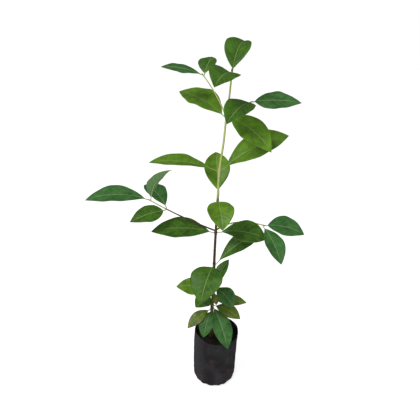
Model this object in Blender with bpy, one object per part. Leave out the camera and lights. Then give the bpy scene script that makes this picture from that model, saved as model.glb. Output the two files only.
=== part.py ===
"""A young potted tree: one leaning stem, four limbs, opposite pairs of leaves, a film bag and its soil.

Metres, +Z up. The origin is the middle of the bag's flat underside. +X is the right of the
photograph and +Y points away from its viewer. Each leaf is one closed blade with its stalk.
"""
import math

import bmesh
import bpy
from mathutils import Vector

# Bag: a 17 by 22 cm film bag, opened and filled
BAG_RADIUS = 0.0545
BAG_HEIGHT = 0.144
BAG_WALL = 0.0012
FLAT_RADIUS = 0.040
CORNER_HEIGHT = 0.014
RIM_SHIFT = 0.0050
RIM_SWAY = 0.0020
SWAY_ANGLE = 200.0
LOW_TAPER = 0.001
DENT_DEPTH = 0.0065
DENT_ANGLE = 222.0
DENT_SPREAD = 38.0
BAG_SIDES = 40
WALL_LEVELS = 5
CORNER_LEVELS = 4

# Soil: its top lies below the rim, a little proud at the stem
SOIL_TOP = 0.122
SOIL_RISE = 0.004
SOIL_SHOULDER = 0.02
SOIL_RINGS = (0.30, 0.62, 0.88, 1.0)

# Gap between faces that touch on the real plant
GAP = 0.0003

# Stem: its course is a height and a sideways place at each bend
STEM_COURSE = ((0.126, -0.0090), (0.218, -0.0058), (0.268, -0.0020), (0.342, -0.0012),
               (0.426, 0.0018), (0.512, 0.0058), (0.571, 0.0082), (0.631, 0.0159),
               (0.681, 0.0203), (0.715, 0.0248), (0.762, 0.0288), (0.772, 0.0294))
STEM_FOOT_RADIUS = 0.0040
STEM_TOP_RADIUS = 0.0016
FLARE_RADIUS = 0.0022
FLARE_HEIGHT = 0.012
STEM_SIDES = 12
STEM_STEP = 0.011
STEM_TAPER_POWER = 0.85
RING_LEAST = 0.0022
FLARE_RINGS = (0.3, 0.6, 1.2, 1.8)
BUD_LENGTH = 0.008
BUD_WIDTH = 1.15
BUD_PROFILE = ((0.3, 1.0), (0.6, 0.75), (0.85, 0.45), (1.0, 0.15))

# Heights where leaves and limbs join the stem
JOINTS = {"foot": 0.213, "foot_top": 0.225, "foot_high": 0.237, "sixth_low": 0.251, "sixth": 0.266,
          "sixth_top": 0.279, "fifth": 0.342, "fourth": 0.426, "third_low": 0.505, "third": 0.519,
          "second": 0.571, "first": 0.681, "top": 0.763}
SWELL_SHARE = 0.30
SWELL_REACH = 0.0035

# Limbs: the joint each leaves, how far above it, its middle and end points, and its end radii.
# A knot is the share of the limb's length where a pair of leaves joins it.
LIMBS = {
    "left_bough": dict(joint="fourth", above=0.006, middle=(-0.060, 0.002, 0.459),
                       end=(-0.1372, 0.0000, 0.5053), radii=(0.0018, 0.0011), knot=0.74),
    "right_bough": dict(joint="fourth", above=0.007, middle=(0.040, 0.029, 0.4335),
                        end=(0.1085, 0.0100, 0.4378), radii=(0.0018, 0.0012), knot=None),
    "left_twig": dict(joint="first", above=0.006, middle=(-0.001, -0.002, 0.7255),
                      end=(-0.0233, 0.0000, 0.7583), radii=(0.0013, 0.0010), knot=None),
    "right_twig": dict(joint="first", above=0.006, middle=(0.044, 0.002, 0.6985),
                       end=(0.0663, 0.0000, 0.7095), radii=(0.0013, 0.0010), knot=None),
}
LIMB_SIDES = 10
LIMB_STATIONS = 14
LIMB_STEP = 0.02
LIMB_STEP_LEAST = 0.012
TIP_SHARE = 0.985

# Leaves: where each joins, then heading, rise, droop, fold, roll in degrees, length and width.
# Heading 0 is +X and 90 is away from the viewer. Roll lifts the left half, seen from the stalk.
LEAVES = {
    "leaf_top_back": dict(at="top", heading=68, rise=73, length=0.085, width=0.053, droop=75, fold=25,
                          roll=10, belly=0.50),
    "leaf_top_front": dict(at="top", heading=247, rise=15, length=0.083, width=0.058, droop=45, fold=14,
                           roll=-16, belly=0.38),
    "leaf_left_twig_end": dict(at="left_twig", heading=190, rise=26, length=0.077, width=0.036, droop=28,
                               fold=0, roll=-15),
    "leaf_left_twig_back": dict(at="left_twig", heading=68, rise=50, length=0.046, width=0.037, droop=30,
                                fold=15),
    "leaf_first_left": dict(at="first", heading=150, rise=37, length=0.110, width=0.070, droop=35, fold=10,
                            roll=-11),
    "leaf_first_right": dict(at="first", heading=330, rise=-6, length=0.110, width=0.060, droop=48, fold=5,
                             roll=22, belly=0.45),
    "leaf_right_twig_end": dict(at="right_twig", heading=350, rise=12, length=0.092, width=0.056, droop=22,
                                fold=0, roll=20, belly=0.42),
    "leaf_right_twig_front": dict(at="right_twig", heading=236, rise=8, length=0.088, width=0.056, droop=45,
                                  fold=10, roll=-8, belly=0.40),
    "leaf_second_right": dict(at="second", heading=5, rise=45, length=0.152, width=0.076, droop=35, fold=10,
                              roll=20, belly=0.56),
    "leaf_second_left": dict(at="second", heading=183, rise=26, length=0.140, width=0.054, droop=35,
                             fold=10, roll=-5, belly=0.56),
    "leaf_third_back": dict(at="third", heading=93, rise=65, length=0.098, width=0.056, droop=45, fold=15),
    "leaf_third_front": dict(at="third_low", heading=277, rise=10, length=0.080, width=0.056, droop=70,
                             fold=12, belly=0.45),
    "leaf_fourth_left": dict(at="fourth", heading=185, rise=22, length=0.137, width=0.063, droop=36,
                             fold=6, roll=-14),
    "leaf_fourth_right": dict(at="fourth", heading=355, rise=18, length=0.110, width=0.067, droop=48,
                              fold=8, roll=15, belly=0.57),
    "leaf_left_bough_end": dict(at="left_bough", heading=190, rise=27, length=0.132, width=0.055,
                                droop=45, fold=8, roll=-12),
    "leaf_left_bough_up": dict(at="left_bough", heading=335, rise=86, length=0.100, width=0.040, droop=64,
                               fold=12, roll=-20),
    "leaf_left_knot_low": dict(at="left_knot", heading=208, rise=6, length=0.080, width=0.045, droop=24,
                               fold=4, roll=-22, belly=0.40),
    "leaf_left_knot_up": dict(at="left_knot", heading=139, rise=56, length=0.078, width=0.048, droop=60,
                              fold=15),
    "leaf_right_bough_end": dict(at="right_bough", heading=350, rise=13, length=0.089, width=0.060,
                                 droop=45, fold=8, roll=15, belly=0.45),
    "leaf_right_bough_down": dict(at="right_bough", heading=298, rise=-16, length=0.094, width=0.046,
                                  droop=42, fold=12),
    "leaf_fifth_right": dict(at="fifth", heading=18, rise=50, length=0.130, width=0.048, droop=40, fold=8,
                             roll=15, belly=0.57),
    "leaf_fifth_front": dict(at="fifth", heading=248, rise=-5, length=0.096, width=0.075, droop=60, fold=12,
                             belly=0.38),
    "leaf_sixth_back": dict(at="sixth_top", heading=50, rise=58, length=0.070, width=0.030, droop=30,
                            fold=15),
    "leaf_sixth_right": dict(at="sixth_top", heading=316, rise=5, length=0.064, width=0.045, droop=60,
                             fold=12, roll=5),
    "leaf_sixth_front": dict(at="sixth_low", heading=228, rise=20, length=0.056, width=0.040, droop=32,
                             fold=8, roll=-10),
    "leaf_sixth_small": dict(at="sixth", heading=283, rise=-25, length=0.030, width=0.016, droop=30,
                             fold=10),
    "leaf_sixth_left": dict(at="sixth", heading=180, rise=30, length=0.085, width=0.048, droop=42, fold=2,
                            roll=-18),
    "leaf_foot_far_right": dict(at="foot_high", heading=348, rise=20, length=0.077, width=0.032, droop=28,
                                fold=5, roll=15),
    "leaf_foot_right": dict(at="foot_top", heading=331, rise=10, length=0.072, width=0.036, droop=40,
                            fold=8, roll=15),
    "leaf_foot_front": dict(at="foot_top", heading=294, rise=-15, length=0.106, width=0.047, droop=45,
                            fold=12),
    "leaf_foot_front_left": dict(at="foot", heading=249, rise=-15, length=0.068, width=0.036, droop=50,
                                 fold=12),
    "leaf_foot_left": dict(at="foot", heading=215, rise=1, length=0.071, width=0.029, droop=45, fold=4,
                           roll=-20),
}
LEAF_STATIONS = 14
LEAF_COLUMNS = (-1.0, -0.5, 0.0, 0.5, 1.0)
EDGE_THICK_SHARE = 0.7
THICK_SHARE = 0.010
THICK_LEAST = 0.0008
STALK_SHARE = 0.07
STALK_HALF = 0.0008
STALK_THICK = 0.0014
TIP_HALF = 0.0004
BASE_POWER = 0.95
TIP_POWER = 0.90

# Colours as linear red, green and blue, with roughness
BAG_LOOK = ((0.022, 0.020, 0.021), 0.42)
SOIL_LOOK = ((0.018, 0.013, 0.009), 0.95)
OLD_BARK_LOOK = ((0.070, 0.040, 0.022), 0.75)
YOUNG_BARK_LOOK = ((0.420, 0.430, 0.130), 0.60)
LEAF_GREENS = {"deep": (0.045, 0.130, 0.020), "bright": (0.125, 0.300, 0.030),
               "blue": (0.045, 0.135, 0.055), "old": (0.150, 0.170, 0.025)}
LEAF_ROUGHNESS = 0.38
BRIGHT_LEAVES = ("first", "second", "third", "sixth_left")
BLUE_LEAVES = ("bough", "twig_end", "knot_up", "foot_front", "sixth_right")
OLD_LEAVES = ("small", "foot_right", "foot_far", "foot_left")


def clear_scene():
    for old in list(bpy.data.objects):
        bpy.data.objects.remove(old, do_unlink=True)


def make_material(name, look):
    colour, roughness = look
    material = bpy.data.materials.new(name)
    material.use_nodes = True
    shader = material.node_tree.nodes["Principled BSDF"]
    shader.inputs["Base Color"].default_value = (*colour, 1.0)
    shader.inputs["Roughness"].default_value = roughness
    shader.inputs["Metallic"].default_value = 0.0
    return material


def add_solid(name, rings, look):
    """One closed mesh through rings of points; the first and last ring are capped."""
    mesh = bmesh.new()
    loops = [[mesh.verts.new(point) for point in ring] for ring in rings]
    count = len(rings[0])
    for lower, upper in zip(loops, loops[1:]):
        for i in range(count):
            j = (i + 1) % count
            mesh.faces.new((lower[i], lower[j], upper[j], upper[i]))
    mesh.faces.new(list(reversed(loops[0])))
    mesh.faces.new(loops[-1])
    bmesh.ops.recalc_face_normals(mesh, faces=mesh.faces)
    data = bpy.data.meshes.new(name)
    mesh.to_mesh(data)
    mesh.free()
    solid = bpy.data.objects.new(name, data)
    bpy.context.scene.collection.objects.link(solid)
    data.materials.append(make_material(name + "_finish", look))
    return solid


# Bag and soil


def turned_distance(angle, centre):
    return abs((math.degrees(angle) - centre + 180.0) % 360.0 - 180.0)


def bag_point(angle, radius, height):
    """A point of the bag's side: higher up it leans to the right and is dented at front left."""
    share = max(0.0, height / BAG_HEIGHT)
    dent = DENT_DEPTH * math.exp(-(turned_distance(angle, DENT_ANGLE) / DENT_SPREAD) ** 2)
    reach = radius - dent * share ** 2
    sway = RIM_SWAY * share ** 4 * math.sin(angle + math.radians(SWAY_ANGLE))
    return Vector((RIM_SHIFT * share ** 2 + reach * math.cos(angle), reach * math.sin(angle),
                   height + sway))


def bag_ring(radius, height):
    step = 2.0 * math.pi / BAG_SIDES
    return [bag_point(i * step, radius, height) for i in range(BAG_SIDES)]


def bag_profile(inset):
    """Radius and height up the bag's side, from the underside's edge to the rim, moved in by inset."""
    levels = []
    for i in range(CORNER_LEVELS + 1):
        turn = math.radians(90.0 * i / CORNER_LEVELS)
        radius = FLAT_RADIUS + (BAG_RADIUS - FLAT_RADIUS - LOW_TAPER) * math.sin(turn)
        height = CORNER_HEIGHT * (1.0 - math.cos(turn))
        levels.append((radius - inset * math.sin(turn), height + inset * math.cos(turn)))
    top_radius = BAG_RADIUS - inset
    low_radius, low_height = levels[-1]
    for i in range(1, WALL_LEVELS + 1):
        share = i / WALL_LEVELS
        levels.append((low_radius + (top_radius - low_radius) * share,
                       low_height + (BAG_HEIGHT - low_height) * share))
    return levels


def build_bag():
    outside = [bag_ring(radius, height) for radius, height in bag_profile(0.0)]
    inside = [bag_ring(radius, height) for radius, height in bag_profile(BAG_WALL)]
    return add_solid("bag", outside + list(reversed(inside)), BAG_LOOK)


def soil_top_height(share):
    return SOIL_TOP + SOIL_RISE * (1.0 - share * share)


def build_soil():
    inset = BAG_WALL + 2.0 * GAP
    highest = SOIL_TOP - SOIL_SHOULDER
    rings = [bag_ring(radius, height) for radius, height in bag_profile(inset) if height < highest]
    low_radius = bag_profile(inset)[CORNER_LEVELS][0]
    share = (SOIL_TOP - CORNER_HEIGHT) / (BAG_HEIGHT - CORNER_HEIGHT)
    edge_radius = low_radius + (BAG_RADIUS - inset - low_radius) * share
    for part in reversed(SOIL_RINGS):
        ring = bag_ring(edge_radius, SOIL_TOP)
        middle = Vector((STEM_COURSE[0][1], 0.0, 0.0))
        moved = []
        for point in ring:
            flat = Vector((point.x, point.y, 0.0))
            place = middle + (flat - middle) * part
            moved.append(Vector((place.x, place.y, soil_top_height(part) + (point.z - SOIL_TOP) * part)))
        rings.append(moved)
    return add_solid("soil", rings, SOIL_LOOK)


# Stem and limbs


def stem_centre(height):
    """A smooth line through the stem's course."""
    course = STEM_COURSE
    if height >= course[-1][0]:
        return Vector((course[-1][1], 0.0, height))
    index = max(i for i, (level, _) in enumerate(course) if level <= height or i == 0)
    low, low_x = course[index]
    high, high_x = course[index + 1]
    before = course[index - 1] if index else (low - (high - low), low_x - (high_x - low_x))
    after = course[index + 2] if index + 2 < len(course) else (high + (high - low), 2 * high_x - low_x)
    start_slope = (high_x - before[1]) / (high - before[0])
    end_slope = (after[1] - low_x) / (after[0] - low)
    span = high - low
    t = (height - low) / span
    x = ((2 * t ** 3 - 3 * t ** 2 + 1) * low_x + (t ** 3 - 2 * t ** 2 + t) * span * start_slope
         + (3 * t ** 2 - 2 * t ** 3) * high_x + (t ** 3 - t ** 2) * span * end_slope)
    return Vector((x, 0.0, height))


def swelling(distance):
    return 1.0 + SWELL_SHARE * math.exp(-(distance / SWELL_REACH) ** 2)


def stem_radius(height):
    foot = STEM_COURSE[0][0]
    share = (height - foot) / (STEM_COURSE[-1][0] - foot)
    radius = STEM_FOOT_RADIUS + (STEM_TOP_RADIUS - STEM_FOOT_RADIUS) * share ** STEM_TAPER_POWER
    radius += FLARE_RADIUS * math.exp(-((height - foot) / FLARE_HEIGHT) ** 2)
    nearest = min(abs(height - joint) for joint in JOINTS.values())
    return radius * swelling(nearest)


def tube_ring(centre, direction, radius, sides):
    direction = direction.normalized()
    side = direction.cross(Vector((0.0, 1.0, 0.0)))
    if side.length < 0.1:
        side = direction.cross(Vector((1.0, 0.0, 0.0)))
    side.normalize()
    other = direction.cross(side)
    step = 2.0 * math.pi / sides
    return [centre + radius * (math.cos(i * step) * side + math.sin(i * step) * other)
            for i in range(sides)]


def stem_heights():
    """Even steps with closer rings at each swelling and at the flare."""
    foot = soil_top_height(0.0) + GAP
    top = STEM_COURSE[-1][0] - BUD_LENGTH
    count = round((top - foot) / STEM_STEP)
    marks = [foot + (top - foot) * i / count for i in range(count + 1)]
    close = [joint + offset for joint in JOINTS.values()
             for offset in (-2 * SWELL_REACH, -SWELL_REACH, 0.0, SWELL_REACH, 2 * SWELL_REACH)]
    close += [foot + FLARE_HEIGHT * share for share in FLARE_RINGS]
    kept = []
    for mark in sorted(close + marks):
        if foot <= mark <= top and (not kept or mark - kept[-1] > RING_LEAST):
            kept.append(mark)
    kept[0] = foot
    return kept


def build_stem():
    rings = []
    up = Vector((0.0, 0.0, 1.0))
    for height in stem_heights():
        rings.append(tube_ring(stem_centre(height), up, stem_radius(height), STEM_SIDES))
    base = rings[-1][0].z
    for share, width in BUD_PROFILE:
        height = base + BUD_LENGTH * share
        rings.append(tube_ring(stem_centre(height), up, STEM_TOP_RADIUS * BUD_WIDTH * width, STEM_SIDES))
    return add_solid("stem", rings, OLD_BARK_LOOK)


def surface_start(height, heading, rise, half):
    """Where a stalk or limb begins: clear of the stem's skin by the gap."""
    turn = math.radians(heading)
    outward = Vector((math.cos(turn), math.sin(turn), 0.0))
    reach = max(stem_radius(height + offset) for offset in (-half, 0.0, half))
    return stem_centre(height) + outward * (reach + GAP + half * abs(math.sin(math.radians(rise))))


def limb_line(name):
    """Start, middle and end of a limb; its line is a curve through all three."""
    limb = LIMBS[name]
    middle = Vector(limb["middle"])
    end = Vector(limb["end"])
    height = JOINTS[limb["joint"]] + limb["above"]
    away = middle - stem_centre(height)
    heading = math.degrees(math.atan2(away.y, away.x))
    rise = math.degrees(math.atan2(away.z, math.hypot(away.x, away.y)))
    start = surface_start(height, heading, rise, limb["radii"][0])
    return start, middle, end


def limb_point(name, share):
    """A curve through the limb's three points, as a polynomial of the second degree."""
    start, middle, end = limb_line(name)
    first = (middle - start).length
    knee = first / (first + (end - middle).length)
    a = (share - knee) * (share - 1.0) / knee
    b = share * (share - 1.0) / (knee * (knee - 1.0))
    c = share * (share - knee) / (1.0 - knee)
    return start * a + middle * b + end * c


def limb_direction(name, share):
    low = max(0.0, share - LIMB_STEP)
    high = min(1.0, share + LIMB_STEP)
    return (limb_point(name, high) - limb_point(name, low)).normalized()


def limb_radius(name, share):
    limb = LIMBS[name]
    start, end = limb["radii"]
    radius = start + (end - start) * share
    length = (Vector(limb["end"]) - limb_line(name)[0]).length
    knots = [1.0] + ([limb["knot"]] if limb["knot"] else [])
    nearest = min(abs(share - knot) for knot in knots) * length
    return radius * swelling(nearest)


def build_limb(name, look):
    shares = [i / (LIMB_STATIONS - 1) for i in range(LIMB_STATIONS)]
    knot = LIMBS[name]["knot"]
    if knot:
        shares += [knot - LIMB_STEP, knot, knot + LIMB_STEP]
    shares += [1.0 - LIMB_STEP]
    rings = []
    last = -1.0
    for share in sorted(shares):
        if share - last > LIMB_STEP_LEAST:
            rings.append(tube_ring(limb_point(name, share), limb_direction(name, share),
                                   limb_radius(name, share), LIMB_SIDES))
            last = share
    return add_solid(name, rings, look)


# Leaves


def blade_half(share, width, belly):
    """Half the blade's width along its length: none at stalk and tip, the most at the belly."""
    t = (share - STALK_SHARE) / (1.0 - STALK_SHARE)
    if t <= 0.0:
        return STALK_HALF
    wave = max(0.0, math.sin(math.pi * t ** (math.log(0.5) / math.log(belly))))
    half = width / 2.0 * wave ** (BASE_POWER if t < belly else TIP_POWER)
    return max(half, STALK_HALF if t < belly else TIP_HALF)


def leaf_start(leaf):
    """The stalk's first point, clear of what carries it."""
    at = leaf["at"]
    if at in JOINTS:
        return surface_start(JOINTS[at], leaf["heading"], leaf["rise"], STALK_THICK / 2.0)
    name, share = ("left_bough", LIMBS["left_bough"]["knot"]) if at == "left_knot" else (at, TIP_SHARE)
    turn = math.radians(leaf["heading"])
    climb = math.radians(leaf["rise"])
    outward = Vector((math.cos(climb) * math.cos(turn), math.cos(climb) * math.sin(turn), math.sin(climb)))
    along = limb_direction(name, share)
    across = outward - along * outward.dot(along)
    if at != "left_knot" and across.length < 0.5:
        return limb_point(name, 1.0) + along * GAP + outward * (STALK_HALF * across.length)
    tilt = STALK_THICK / 2.0 * abs(outward.dot(along)) / max(across.length, 0.3)
    reach = limb_radius(name, share) + GAP + tilt
    return limb_point(name, share) + across.normalized() * reach


def leaf_frames(leaf):
    """Points along the midrib with their side and face directions."""
    heading = math.radians(leaf["heading"])
    roll = math.radians(leaf.get("roll", 0.0))
    side = Vector((-math.sin(heading), math.cos(heading), 0.0))
    point = leaf_start(leaf)
    step = 1.0 / (LEAF_STATIONS - 1)
    frames = []
    for i in range(LEAF_STATIONS):
        share = i * step
        climb = math.radians(leaf["rise"] - leaf["droop"] * share)
        along = Vector((math.cos(climb) * math.cos(heading), math.cos(climb) * math.sin(heading),
                        math.sin(climb)))
        face = along.cross(side)
        frames.append((share, point.copy(), side * math.cos(roll) + face * math.sin(roll),
                       face * math.cos(roll) - side * math.sin(roll)))
        middle = math.radians(leaf["rise"] - leaf["droop"] * (share + step / 2.0))
        point = point + leaf["length"] * step * Vector((math.cos(middle) * math.cos(heading),
                                                        math.cos(middle) * math.sin(heading),
                                                        math.sin(middle)))
    return frames


def leaf_ring(leaf, share, point, side, face):
    """Ten points round the blade: its two halves rise by the fold from the midrib."""
    half = blade_half(share, leaf["width"], leaf.get("belly", 0.5))
    stalk = max(0.0, 1.0 - share / (2.0 * STALK_SHARE))
    blade = max(THICK_LEAST, THICK_SHARE * leaf["length"])
    thick = blade + (STALK_THICK - blade) * stalk
    fold = math.radians(leaf["fold"]) * (1.0 - stalk)
    points = []
    for top in (1.0, -1.0):
        row = []
        for u in LEAF_COLUMNS:
            reach = abs(u) * half
            depth = thick / 2.0 * (EDGE_THICK_SHARE if abs(u) == 1.0 else 1.0)
            row.append(point + side * (math.copysign(reach, u) * math.cos(fold))
                       + face * (reach * math.sin(fold) + top * depth))
        points += row if top > 0.0 else list(reversed(row))
    return points


def leaf_colour(name):
    for family, words in (("old", OLD_LEAVES), ("blue", BLUE_LEAVES), ("bright", BRIGHT_LEAVES)):
        if any(word in name for word in words):
            return LEAF_GREENS[family]
    return LEAF_GREENS["deep"]


def build_leaf(name):
    leaf = LEAVES[name]
    rings = [leaf_ring(leaf, *frame) for frame in leaf_frames(leaf)]
    return add_solid(name, rings, (leaf_colour(name), LEAF_ROUGHNESS))


def main():
    clear_scene()
    build_bag()
    build_soil()
    build_stem()
    for name in LIMBS:
        build_limb(name, YOUNG_BARK_LOOK if "twig" in name else OLD_BARK_LOOK)
    for name in LEAVES:
        build_leaf(name)


main()
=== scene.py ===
# %% [markdown]
# A young fruit tree in a black film bag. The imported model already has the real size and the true
# place of the bag, the soil, the stem, four limbs and every leaf. This lesson dresses each of them:
# it models a finer piece for every solid, in the same place and within the same reach, and gives
# each finish its own nodes. Metres throughout, +Z up, +X to the right, +Y away from the viewer.

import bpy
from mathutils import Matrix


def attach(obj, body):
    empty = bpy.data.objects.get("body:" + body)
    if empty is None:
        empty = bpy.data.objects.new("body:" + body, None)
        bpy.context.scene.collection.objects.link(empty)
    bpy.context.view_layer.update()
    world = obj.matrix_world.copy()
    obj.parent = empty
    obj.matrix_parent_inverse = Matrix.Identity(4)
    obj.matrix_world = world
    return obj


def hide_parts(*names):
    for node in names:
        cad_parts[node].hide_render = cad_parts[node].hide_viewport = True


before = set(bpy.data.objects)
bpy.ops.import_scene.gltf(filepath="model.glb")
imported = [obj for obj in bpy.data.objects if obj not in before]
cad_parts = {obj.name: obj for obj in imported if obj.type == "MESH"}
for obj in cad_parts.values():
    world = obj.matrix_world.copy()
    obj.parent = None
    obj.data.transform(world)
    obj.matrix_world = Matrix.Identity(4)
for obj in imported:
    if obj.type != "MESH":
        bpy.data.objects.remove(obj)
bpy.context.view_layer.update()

# %% Tools that the cells below use
import math
import random

import bmesh
import bpy
from mathutils import Vector, noise

TURN = 2.0 * math.pi
UP = Vector((0.0, 0.0, 1.0))
chance = random.Random(7)

# %% [markdown]
# Blender's operators act on whatever is selected, and loading leaves the whole model selected. So
# every step below starts from nothing selected, and a new primitive gets its plain name at once.

# %% Select nothing, and name what was just added
def select_nothing():
    bpy.ops.object.select_all(action="DESELECT")


def only(piece):
    select_nothing()
    piece.select_set(True)
    bpy.context.view_layer.objects.active = piece


def named(name):
    piece = bpy.context.active_object
    piece.name = name
    piece.data.name = name
    return piece


def triangles(piece):
    return sum(len(face.vertices) - 2 for face in piece.data.polygons)


# %% [markdown]
# A stem, a limb, a leaf stalk and the bag itself are all tubes. A cylinder is the natural start:
# its long edges are subdivided in edit mode into as many rings as the shape needs, and each ring
# is then laid along the piece's own course. Laying rings by a rule, instead of pulling them by
# hand, keeps the fine piece exactly where its solid is.

# %% A tube of many rings
def tube(name, sides, cuts, place):
    """place takes the turn round the tube and the share of its length, and gives a point."""
    select_nothing()
    bpy.ops.mesh.primitive_cylinder_add(vertices=sides, radius=1.0, depth=1.0, end_fill_type="NGON")
    piece = named(name)
    bpy.ops.object.mode_set(mode="EDIT")
    bpy.ops.mesh.select_mode(type="EDGE")
    bpy.ops.mesh.select_all(action="DESELECT")
    mesh = bmesh.from_edit_mesh(piece.data)
    for edge in mesh.edges:
        edge.select = abs(edge.verts[0].co.z - edge.verts[1].co.z) > 0.5
    bmesh.update_edit_mesh(piece.data)
    bpy.ops.mesh.subdivide(number_cuts=cuts)
    bpy.ops.object.mode_set(mode="OBJECT")
    skin = []
    for vertex in piece.data.vertices:
        turn = math.atan2(vertex.co.y, vertex.co.x) % TURN
        share = min(1.0, max(0.0, vertex.co.z + 0.5))
        vertex.co = place(turn, share)
        skin.append((math.cos(turn), math.sin(turn), share))
    write_attribute(piece, "skin", skin)
    return piece


def write_attribute(piece, name, rows):
    """One vector on each vertex, which a material can read."""
    data = piece.data.attributes.new(name, "FLOAT_VECTOR", "POINT").data
    for item, row in zip(data, rows):
        item.vector = row


def face_outwards(piece):
    only(piece)
    bpy.ops.object.mode_set(mode="EDIT")
    bpy.ops.mesh.select_all(action="SELECT")
    bpy.ops.mesh.normals_make_consistent(inside=False)
    bpy.ops.object.mode_set(mode="OBJECT")
    bpy.ops.object.shade_smooth()


def thicken(piece, thickness):
    """A wall of this thickness, laid on the inner side, and made real."""
    only(piece)
    bpy.ops.object.modifier_add(type="SOLIDIFY")
    modifier = piece.modifiers[-1]
    modifier.thickness = thickness
    modifier.offset = -1.0
    bpy.ops.object.modifier_apply(modifier=modifier.name)


# %% [markdown]
# Each finish is a small network of nodes. Writing it as sums and products is much easier to read
# than wiring every Math node, so one small class stands for a socket and adds the nodes itself.

# %% Sockets that can be added and multiplied
class Value:
    def __init__(self, finish, socket):
        self.finish = finish
        self.socket = socket

    def math(self, operation, other=0.0, swapped=False):
        pair = (other, self) if swapped else (self, other)
        return self.finish.node("ShaderNodeMath", {"operation": operation}, {0: pair[0], 1: pair[1]})

    def __add__(self, other):
        return self.math("ADD", other)

    def __sub__(self, other):
        return self.math("SUBTRACT", other)

    def __rsub__(self, other):
        return self.math("SUBTRACT", other, swapped=True)

    def __mul__(self, other):
        return self.math("MULTIPLY", other)

    def size(self):
        return self.math("ABSOLUTE")

    def step(self, low, high):
        """0 at low and 1 at high, with a soft ramp between; low may be the larger number."""
        return self.finish.node("ShaderNodeMapRange", {"interpolation_type": "SMOOTHSTEP"},
                                {"Value": self, "From Min": low, "From Max": high})

    __radd__ = __add__
    __rmul__ = __mul__


class Finish:
    """A material whose nodes are added one call at a time."""

    def __init__(self, name, owner=None, shader="Principled BSDF"):
        self.owner = owner or bpy.data.materials.new(name)
        self.owner.use_nodes = True
        self.tree = self.owner.node_tree
        self.shader = self.tree.nodes[shader]

    def feed(self, socket, value):
        if isinstance(value, Value):
            self.tree.links.new(value.socket, socket)
        else:
            socket.default_value = value

    def node(self, kind, settings=None, sockets=None, out=0):
        """Any node: its settings first, then values or links of its sockets."""
        made = self.tree.nodes.new(kind)
        for key, value in (settings or {}).items():
            setattr(made, key, value)
        for key, value in (sockets or {}).items():
            self.feed(made.inputs[key], value)
        return Value(self, made.outputs[out])

    def mix(self, share, low, high):
        """A colour between two colours; the Mix node's colour sockets are 6, 7 and 2."""
        low, high = (c if isinstance(c, Value) else (*c, 1.0) for c in (low, high))
        return self.node("ShaderNodeMix", {"data_type": "RGBA"}, {0: share, 6: low, 7: high}, 2)

    def noise(self, scale, detail=3.0, stretch=(1.0, 1.0, 1.0)):
        """Cloudy values near one half, by place on the piece; stretch turns clouds into streaks."""
        place = self.node("ShaderNodeTexCoord", out="Object")
        place = self.node("ShaderNodeMapping", sockets={"Vector": place, "Scale": stretch})
        return self.node("ShaderNodeTexNoise", sockets={"Vector": place, "Scale": scale, "Detail": detail})

    def parts(self, name):
        """The three numbers of a vector that the mesh carries."""
        vector = self.node("ShaderNodeAttribute", {"attribute_name": name}, out="Vector")
        return [self.node("ShaderNodeSeparateXYZ", sockets={0: vector}, out=i) for i in range(3)]

    def place(self):
        """Where a point lies, as x, y and z in metres."""
        spot = self.node("ShaderNodeTexCoord", out="Object")
        return [self.node("ShaderNodeSeparateXYZ", sockets={0: spot}, out=i) for i in range(3)]

    def done(self, colour, roughness, height=None, depth=0.0, shine=0.5):
        """Feeds the surface, and sets what is the same all over on its own socket."""
        self.feed(self.shader.inputs["Base Color"], colour)
        self.feed(self.shader.inputs["Roughness"], roughness)
        if height is not None:
            bump = self.node("ShaderNodeBump", sockets={"Height": height, "Distance": depth})
            self.feed(self.shader.inputs["Normal"], bump)
        self.shader.inputs["Specular IOR Level"].default_value = shine
        return self.owner


print("ready to make finishes")

# %% [markdown]
# The plant's measures come next. They are the named sizes that the solids were worked out from:
# the bag's outline, the stem's course, the joints, the limbs and one entry for each leaf.

# %% Sizes of bag, soil and stem
# Bag: a 17 by 22 cm film bag, opened and filled
BAG_RADIUS = 0.0545
BAG_HEIGHT = 0.144
FLAT_RADIUS = 0.040
CORNER_HEIGHT = 0.014
RIM_SHIFT = 0.0050
RIM_SWAY = 0.0020
SWAY_ANGLE = 200.0
LOW_TAPER = 0.001
DENT_DEPTH = 0.0065
DENT_ANGLE = 222.0
DENT_SPREAD = 38.0
WALL_LEVELS = 5
CORNER_LEVELS = 4

# Soil: its top lies below the rim, a little proud at the stem
SOIL_TOP = 0.122
SOIL_RISE = 0.004

# Gap between faces that touch on the real plant
GAP = 0.0003

# Stem: its course is a height and a sideways place at each bend
STEM_COURSE = ((0.126, -0.0090), (0.218, -0.0058), (0.268, -0.0020), (0.342, -0.0012),
               (0.426, 0.0018), (0.512, 0.0058), (0.571, 0.0082), (0.631, 0.0159),
               (0.681, 0.0203), (0.715, 0.0248), (0.762, 0.0288), (0.772, 0.0294))
STEM_FOOT_RADIUS = 0.0040
STEM_TOP_RADIUS = 0.0016
FLARE_RADIUS = 0.0022
FLARE_HEIGHT = 0.012
STEM_TAPER_POWER = 0.85
BUD_LENGTH = 0.008

# Heights where leaves and limbs join the stem
JOINTS = {"foot": 0.213, "foot_top": 0.225, "foot_high": 0.237, "sixth_low": 0.251, "sixth": 0.266,
          "sixth_top": 0.279, "fifth": 0.342, "fourth": 0.426, "third_low": 0.505, "third": 0.519,
          "second": 0.571, "first": 0.681, "top": 0.763}
SWELL_SHARE = 0.30
SWELL_REACH = 0.0035

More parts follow.
